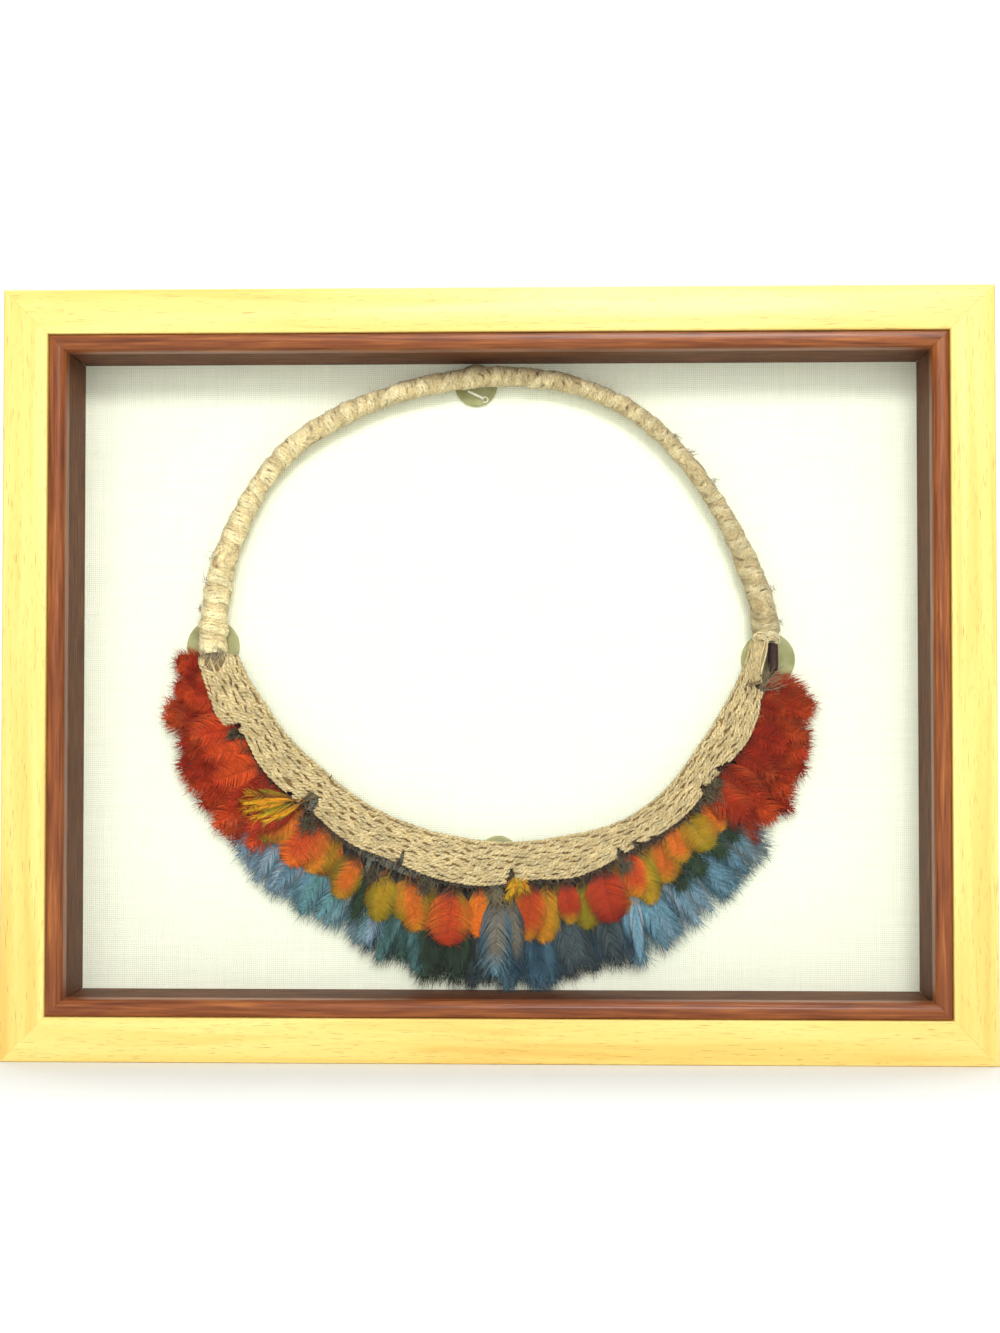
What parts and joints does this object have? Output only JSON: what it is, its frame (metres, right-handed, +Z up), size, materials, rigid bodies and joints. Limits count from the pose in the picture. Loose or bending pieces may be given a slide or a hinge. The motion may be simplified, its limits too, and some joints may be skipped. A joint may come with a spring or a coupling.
{
  "type": "feathered headdress in a glazed wooden display box",
  "caption": "Bound fibre hoop with a looped crescent and rows of red, orange and blue feathers, held on white linen inside a shallow glazed wooden display box.",
  "frame": {"origin": "middle of the display box's underside", "axes": "+X to the right of a viewer who looks through the glass, -Y out of the glass towards the viewer, +Z up"},
  "size_m": [0.38, 0.042, 0.2965],
  "materials": {
    "light_wood": "clear satin lacquer",
    "stained_wood": "red-brown stain and gloss varnish",
    "dark_wall": "dark brown, matt",
    "glass": "clear picture glass",
    "linen": "white plain weave",
    "backing": "plain brown board",
    "pad": "translucent pale green",
    "bound_fibre": "twisted dry plant fibre",
    "looped_fibre": "looped dry plant fibre",
    "cane": "dark dry cane",
    "red_feather": "soft feather barbs",
    "flame_feather": "feather vanes with silky barbs",
    "blue_feather": "feather vanes with loose barbs"
  },
  "bodies": {
    "root": {"rail_top": "light_wood", "rail_bottom": "light_wood", "rail_left": "light_wood", "rail_right": "light_wood", "liner_top": "stained_wood", "liner_bottom": "stained_wood", "liner_left": "stained_wood", "liner_right": "stained_wood", "spacer_top": "dark_wall", "spacer_bottom": "dark_wall", "spacer_left": "dark_wall", "spacer_right": "dark_wall", "glass_pane": "glass", "linen_board": "linen", "back_panel": "backing", "mounting_pad_left": "pad", "mounting_pad_right": "pad", "mounting_pad_top": "pad", "mounting_pad_bottom": "pad", "hoop_wrap": "bound_fibre", "hoop_core_end": "cane", "woven_band": "looped_fibre", "red_feathers_left": "red_feather", "red_feathers_right": "red_feather", "flame_feathers_1": "flame_feather", "flame_feathers_2": "flame_feather", "flame_feathers_3": "flame_feather", "flame_feathers_4": "flame_feather", "blue_feathers_1": "blue_feather", "blue_feathers_2": "blue_feather", "blue_feathers_3": "blue_feather", "blue_feathers_4": "blue_feather"}
  },
  "joints": []
}
